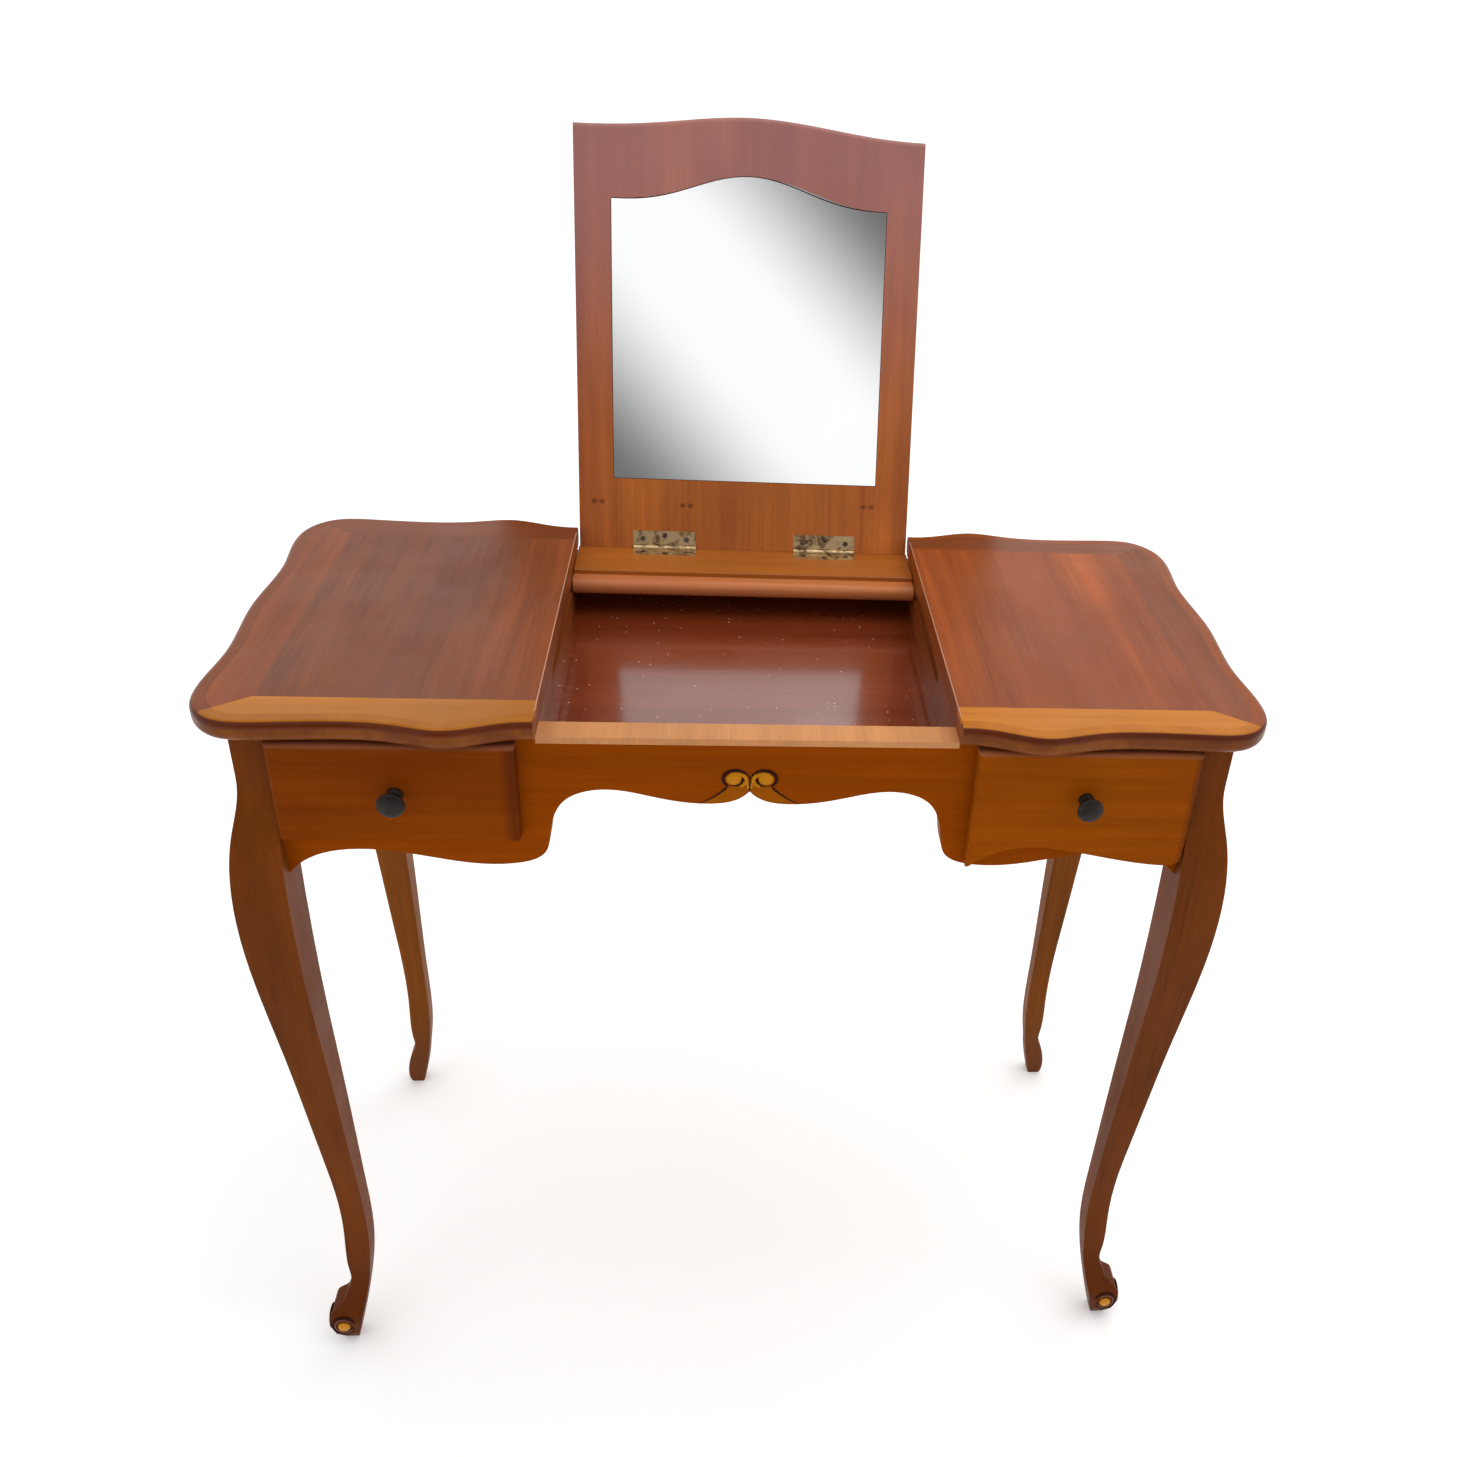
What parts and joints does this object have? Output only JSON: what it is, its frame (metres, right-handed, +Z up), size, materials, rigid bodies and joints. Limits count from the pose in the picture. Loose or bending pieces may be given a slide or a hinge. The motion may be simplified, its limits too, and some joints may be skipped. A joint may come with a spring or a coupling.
{
  "type": "vanity table with mirror",
  "caption": "Dressing table on cabriole legs: two fixed serpentine leaves over drawers, and an open well whose mirrored lid hinges on a sliding carriage.",
  "frame": {"origin": "on the floor, under the middle of the whole object with its lid open", "axes": "+X to the right of the person facing the table, +Y to the back, +Z up"},
  "size_m": [0.8716, 0.54, 1.1276],
  "materials": {
    "cherry_frame": "satin varnish",
    "cherry_top": "satin varnish",
    "cherry_lid": "satin varnish",
    "cherry_band": "satin varnish",
    "cherry_edge": "gloss varnish",
    "tray_wood": "gloss varnish",
    "inner_wood": "raw",
    "mirror": "silvered plate glass",
    "old_brass": "patinated",
    "dark_bronze": "dark bronze",
    "screw_steel": "worn"
  },
  "bodies": {
    "table": {"apron_back": "cherry_frame", "apron_front": "cherry_frame", "apron_left": "cherry_frame", "apron_right": "cherry_frame", "band_back_left": "cherry_band", "band_back_right": "cherry_band", "band_front_left": "cherry_band", "band_front_right": "cherry_band", "band_side_left": "cherry_band", "band_side_right": "cherry_band", "drawer_guide_left": "inner_wood", "drawer_guide_right": "inner_wood", "dust_board_left": "inner_wood", "dust_board_right": "inner_wood", "leaf_edge_left": "cherry_edge", "leaf_edge_right": "cherry_edge", "leaf_left": "cherry_top", "leaf_right": "cherry_top", "leg_front_left": "cherry_frame", "leg_front_right": "cherry_frame", "leg_rear_left": "cherry_frame", "leg_rear_right": "cherry_frame", "rail_cap": "cherry_band", "tray_blocks": "inner_wood", "tray_floor": "tray_wood", "well_wall_left": "cherry_frame", "well_wall_right": "cherry_frame"},
    "carriage": {"carriage_board": "cherry_frame", "hinge_ledge": "cherry_frame", "hinge_lower_left": "old_brass", "hinge_lower_right": "old_brass", "hinge_pin_left": "screw_steel", "hinge_pin_right": "screw_steel", "hinge_screws_lower": "screw_steel"},
    "lid": {"hinge_screws_upper": "screw_steel", "hinge_upper_left": "old_brass", "hinge_upper_right": "old_brass", "lid_band_front": "cherry_band", "lid_band_rear": "cherry_band", "lid_panel": "cherry_lid", "mirror_glass": "mirror"},
    "drawer_left": {"drawer_back_left": "inner_wood", "drawer_bottom_left": "inner_wood", "drawer_front_left": "cherry_frame", "drawer_side_inner_left": "inner_wood", "drawer_side_outer_left": "inner_wood", "knob_left": "dark_bronze", "knob_screw_left": "screw_steel"},
    "drawer_right": {"drawer_back_right": "inner_wood", "drawer_bottom_right": "inner_wood", "drawer_front_right": "cherry_frame", "drawer_side_inner_right": "inner_wood", "drawer_side_outer_right": "inner_wood", "knob_right": "dark_bronze", "knob_screw_right": "screw_steel"}
  },
  "joints": [
    {"name": "carriage_slide", "type": "slide", "parent": "table", "child": "carriage", "axis": [0, -1, 0], "range_m": [0, 0.175]},
    {"name": "lid_hinge", "type": "hinge", "parent": "carriage", "child": "lid", "pos_m": [0, 0.14602, 0.731], "axis": [1, 0, 0], "range_deg": [0, 105]},
    {"name": "drawer_left_slide", "type": "slide", "parent": "table", "child": "drawer_left", "axis": [0, -1, 0], "range_m": [0, 0.25]},
    {"name": "drawer_right_slide", "type": "slide", "parent": "table", "child": "drawer_right", "axis": [0, -1, 0], "range_m": [0, 0.25]}
  ]
}
